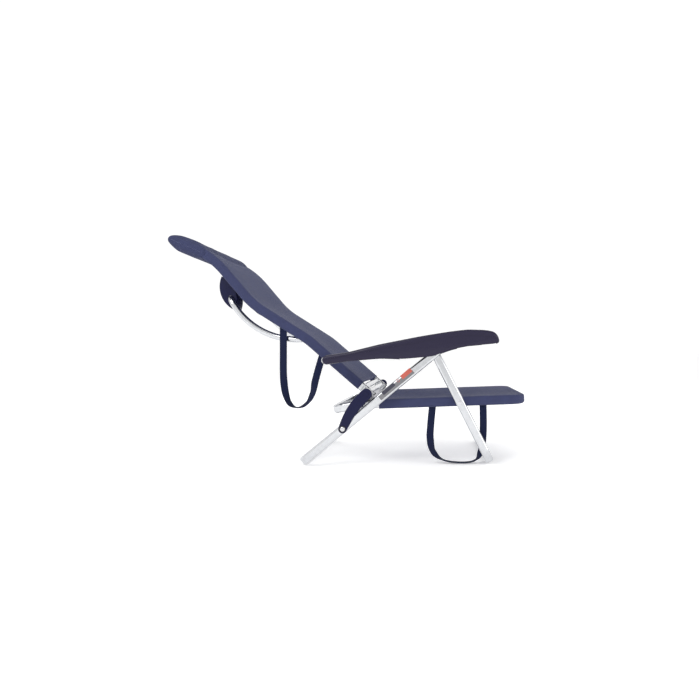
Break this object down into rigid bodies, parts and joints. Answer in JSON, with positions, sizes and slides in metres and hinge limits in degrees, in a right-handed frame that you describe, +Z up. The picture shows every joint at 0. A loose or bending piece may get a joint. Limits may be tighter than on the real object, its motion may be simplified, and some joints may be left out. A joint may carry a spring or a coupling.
{
  "type": "folding beach chair",
  "caption": "Low folding beach chair with a multi-position fabric back, moulded armrests on notched racks and carry straps.",
  "frame": {"origin": "on the ground, under the middle of the chair", "axes": "+X the way the sitter faces, +Y to the sitter's left, +Z up"},
  "size_m": [1.2526, 0.636, 0.8042],
  "materials": {
    "tube": "polished anodised tube",
    "plate": "satin",
    "rivet": "satin",
    "fabric": "woven polyester, matt",
    "pad_foam": "woven polyester over foam",
    "webbing": "ribbed webbing",
    "arm_plastic": "satin moulded",
    "navy_plastic": "satin moulded",
    "black_plastic": "moulded",
    "label": "printed film"
  },
  "bodies": {
    "seat": {"seat_frame": "tube", "seat_sling": "fabric", "seat_strap": "webbing", "hinge_bracket_right": "plate", "hinge_bracket_left": "plate", "bracket_rivets": "rivet", "hinge_pins": "rivet", "hinge_spacers": "black_plastic", "leg_rivets": "rivet", "leg_washers": "black_plastic"},
    "front_legs": {"front_leg_frame": "tube", "front_leg_plugs": "black_plastic", "leg_top_pins": "rivet", "leg_top_washers": "black_plastic", "rack_rollers": "black_plastic"},
    "rear_legs": {"rear_leg_frame": "tube", "rear_leg_plugs": "black_plastic", "leg_label": "label"},
    "links": {"link_right": "navy_plastic", "link_left": "navy_plastic", "link_rivets": "rivet"},
    "hinge_tube": {"hinge_tube": "tube", "hinge_tube_plugs": "black_plastic"},
    "back": {"back_frame": "tube", "back_lower_bar": "tube", "back_collars": "tube", "back_plugs": "black_plastic", "back_sling": "fabric", "head_pad": "pad_foam", "back_strap": "webbing", "arm_pins": "rivet", "arm_spacers": "black_plastic", "prop_rivets": "rivet", "prop_washers": "black_plastic"},
    "arm_bushes": {"arm_bushes": "rivet"},
    "armrest_right": {"armrest_right": "arm_plastic", "rack_right": "black_plastic"},
    "armrest_left": {"armrest_left": "arm_plastic", "rack_left": "black_plastic"},
    "prop": {"prop_tube": "tube", "prop_foot": "navy_plastic"}
  },
  "joints": [
    {"name": "leg_fold", "type": "hinge", "parent": "seat", "child": "front_legs", "pos_m": [0.39349, 0, 0.2187], "axis": [0, 1, 0], "range_deg": [0, 104]},
    {"name": "rear_leg_fold", "type": "hinge", "parent": "front_legs", "child": "rear_legs", "pos_m": [0.308, 0, 0.387], "axis": [0, 1, 0], "range_deg": [-79, 0]},
    {"name": "link_swing", "type": "hinge", "parent": "seat", "child": "links", "pos_m": [0.076, 0, 0.249], "axis": [0, 1, 0], "range_deg": [-85.5, 0]},
    {"name": "hinge_tube_turn", "type": "hinge", "parent": "seat", "child": "hinge_tube", "pos_m": [0.076, 0, 0.249], "axis": [0, 1, 0], "range_deg": [0, 97]},
    {"name": "recline", "type": "hinge", "parent": "hinge_tube", "child": "back", "pos_m": [0.076, 0, 0.249], "axis": [0, 1, 0], "range_deg": [0, 38]},
    {"name": "arm_bush_turn", "type": "hinge", "parent": "back", "child": "arm_bushes", "pos_m": [-0.0566, 0, 0.36427], "axis": [0, 1, 0], "range_deg": [-106, 0]},
    {"name": "armrest_right_turn", "type": "hinge", "parent": "arm_bushes", "child": "armrest_right", "pos_m": [-0.0566, 0, 0.36427], "axis": [0, 1, 0], "range_deg": [-28, 0]},
    {"name": "armrest_left_turn", "type": "hinge", "parent": "arm_bushes", "child": "armrest_left", "pos_m": [-0.0566, 0, 0.36427], "axis": [0, 1, 0], "range_deg": [-28, 0]},
    {"name": "prop_swing", "type": "hinge", "parent": "back", "child": "prop", "pos_m": [-0.14372, 0, 0.43821], "axis": [0, -1, 0], "range_deg": [0, 90]}
  ],
  "couplings": [
    {"joint": "rear_leg_fold", "follows": "leg_fold", "ratio": -0.756},
    {"joint": "link_swing", "follows": "leg_fold", "ratio": -0.819},
    {"joint": "hinge_tube_turn", "follows": "leg_fold", "ratio": 0.93},
    {"joint": "arm_bush_turn", "follows": "leg_fold", "ratio": -1.01},
    {"joint": "armrest_right_turn", "follows": "recline", "ratio": -0.725},
    {"joint": "armrest_left_turn", "follows": "recline", "ratio": -0.725}
  ]
}
